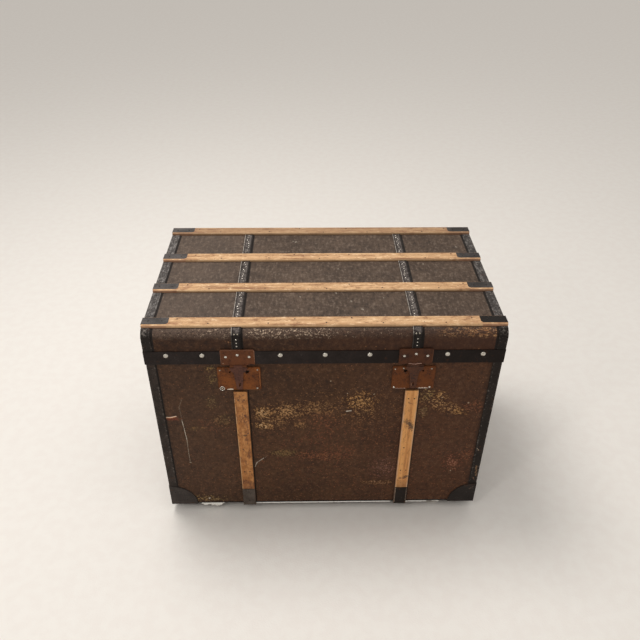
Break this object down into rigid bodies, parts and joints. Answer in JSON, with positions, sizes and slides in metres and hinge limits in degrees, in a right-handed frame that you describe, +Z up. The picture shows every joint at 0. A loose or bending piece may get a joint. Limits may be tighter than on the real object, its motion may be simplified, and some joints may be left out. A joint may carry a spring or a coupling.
{
  "type": "travel trunk",
  "caption": "Flat-topped canvas travel trunk with wooden slats, iron bindings, a back-hinged lid, hasps over two locks, drop handles and casters.",
  "frame": {"origin": "on the floor, under the middle of the trunk's bounding box", "axes": "+X along the trunk to its right end as seen from the front, +Y from the front to the hinged back, +Z up"},
  "size_m": [0.831, 0.4998, 0.6],
  "materials": {
    "board_wood": "old poplar boards",
    "slat_wood": "worn varnished hardwood",
    "trunk_canvas": "worn painted canvas, faded on top",
    "lining_paper": "aged paper lining",
    "rusty_iron": "brown rusted sheet iron",
    "nail_steel": "polished dome nails",
    "wheel_wood": "pale turned wood",
    "black_iron": "old black japan with worn edges"
  },
  "bodies": {
    "carcass": {"back_board": "board_wood", "back_slat_left": "slat_wood", "back_slat_right": "slat_wood", "body_binding_left": "black_iron", "body_binding_right": "black_iron", "body_canvas": "trunk_canvas", "body_lining": "lining_paper", "bottom_board": "board_wood", "bottom_runners": "slat_wood", "caster_axles": "black_iron", "caster_brackets": "black_iron", "corner_protector_back_left": "black_iron", "corner_protector_back_right": "black_iron", "corner_protector_front_left": "black_iron", "corner_protector_front_right": "black_iron", "front_board": "board_wood", "front_slat_left": "slat_wood", "front_slat_right": "slat_wood", "handle_plate_left": "black_iron", "handle_plate_right": "black_iron", "hinge_body_leaves": "black_iron", "hinge_pins": "black_iron", "left_end_board": "board_wood", "lock_case_left": "rusty_iron", "lock_case_right": "rusty_iron", "right_end_board": "board_wood", "slat_foot_clips": "black_iron"},
    "lid": {"band_nails": "nail_steel", "hasp_pin_left": "rusty_iron", "hasp_pin_right": "rusty_iron", "hasp_plate_left": "rusty_iron", "hasp_plate_right": "rusty_iron", "hinge_lid_leaves": "black_iron", "lid_back_rail": "board_wood", "lid_back_strip": "black_iron", "lid_band": "black_iron", "lid_binding_left": "black_iron", "lid_binding_right": "black_iron", "lid_canvas": "trunk_canvas", "lid_front_rail": "board_wood", "lid_left_end_board": "board_wood", "lid_lining": "lining_paper", "lid_right_end_board": "board_wood", "lid_strap_left": "black_iron", "lid_strap_right": "black_iron", "lid_top_board": "board_wood", "slat_end_clips_left": "black_iron", "slat_end_clips_right": "black_iron", "top_slat_1": "slat_wood", "top_slat_2": "slat_wood", "top_slat_3": "slat_wood", "top_slat_4": "slat_wood"},
    "left_hasp": {"hasp_left": "rusty_iron"},
    "right_hasp": {"hasp_right": "rusty_iron"},
    "left_handle": {"handle_left": "black_iron"},
    "right_handle": {"handle_right": "black_iron"},
    "front_left_wheel": {"caster_wheel_front_left": "wheel_wood"},
    "front_right_wheel": {"caster_wheel_front_right": "wheel_wood"},
    "back_left_wheel": {"caster_wheel_back_left": "wheel_wood"},
    "back_right_wheel": {"caster_wheel_back_right": "wheel_wood"}
  },
  "joints": [
    {"name": "lid_hinge", "type": "hinge", "parent": "carcass", "child": "lid", "pos_m": [0, 0.2468, 0.518], "axis": [-1, 0, 0], "range_deg": [0, 100]},
    {"name": "left_hasp_hinge", "type": "hinge", "parent": "lid", "child": "left_hasp", "pos_m": [-0.1945, -0.246, 0.5006], "axis": [-1, 0, 0], "range_deg": [0, 140]},
    {"name": "left_handle_hinge", "type": "hinge", "parent": "carcass", "child": "left_handle", "pos_m": [-0.408, 0, 0.358], "axis": [0, 1, 0], "range_deg": [0, 100]},
    {"name": "front_left_wheel_spin", "type": "hinge", "parent": "carcass", "child": "front_left_wheel", "pos_m": [-0.295, -0.216, 0.012], "axis": [0, 1, 0], "continuous": true},
    {"name": "back_left_wheel_spin", "type": "hinge", "parent": "carcass", "child": "back_left_wheel", "pos_m": [-0.295, 0.216, 0.012], "axis": [0, 1, 0], "continuous": true},
    {"name": "right_hasp_hinge", "type": "hinge", "parent": "lid", "child": "right_hasp", "pos_m": [0.2025, -0.246, 0.5006], "axis": [-1, 0, 0], "range_deg": [0, 140]},
    {"name": "right_handle_hinge", "type": "hinge", "parent": "carcass", "child": "right_handle", "pos_m": [0.408, 0, 0.358], "axis": [0, -1, 0], "range_deg": [0, 100]},
    {"name": "front_right_wheel_spin", "type": "hinge", "parent": "carcass", "child": "front_right_wheel", "pos_m": [0.295, -0.216, 0.012], "axis": [0, 1, 0], "continuous": true},
    {"name": "back_right_wheel_spin", "type": "hinge", "parent": "carcass", "child": "back_right_wheel", "pos_m": [0.295, 0.216, 0.012], "axis": [0, 1, 0], "continuous": true}
  ]
}
